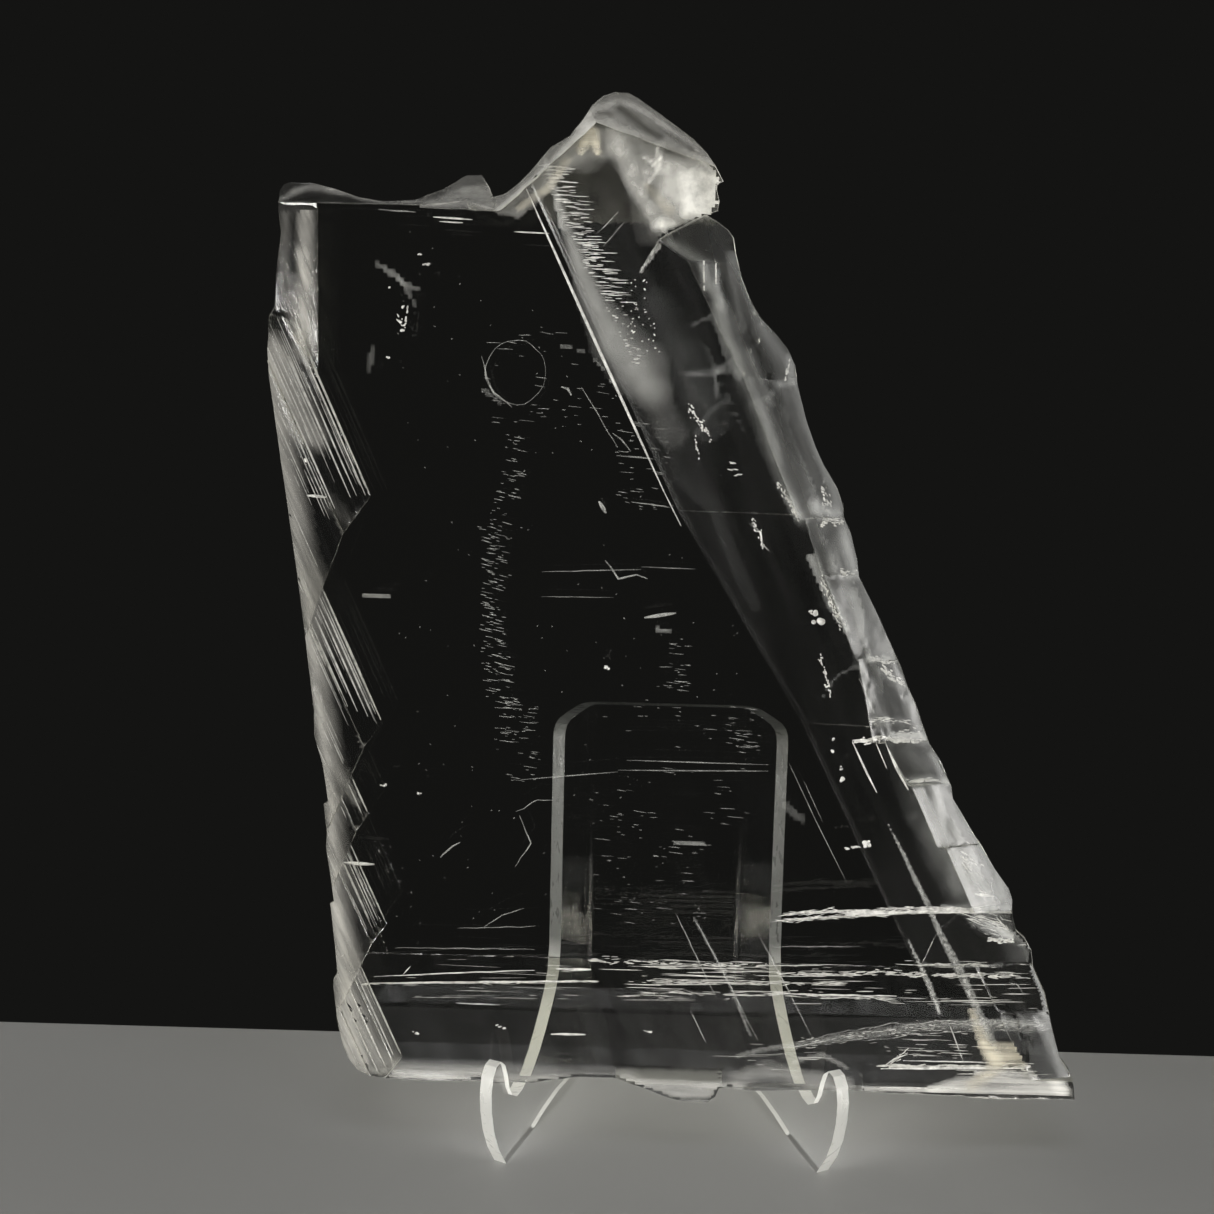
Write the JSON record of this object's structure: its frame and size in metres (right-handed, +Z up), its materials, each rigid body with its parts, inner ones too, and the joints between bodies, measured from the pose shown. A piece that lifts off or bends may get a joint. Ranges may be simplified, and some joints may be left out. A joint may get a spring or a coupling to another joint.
{
  "type": "selenite crystal on stand",
  "caption": "Cleaved slab of clear selenite with fibrous broken margins, leaning in a folded clear acrylic display stand.",
  "frame": {"origin": "middle of the base of the whole object's box, on the surface that it stands on", "axes": "+Z up, -Y towards the viewer in front of the slab's face, +X to the viewer's right"},
  "size_m": [0.1898, 0.0654, 0.232],
  "materials": {
    "selenite": "clear crystal with frosted, silky broken margins and white inner veils",
    "acrylic": "polished clear sheet with bright cut edges"
  },
  "bodies": {
    "root": {"selenite_crystal": "selenite", "acrylic_stand": "acrylic"}
  },
  "joints": []
}
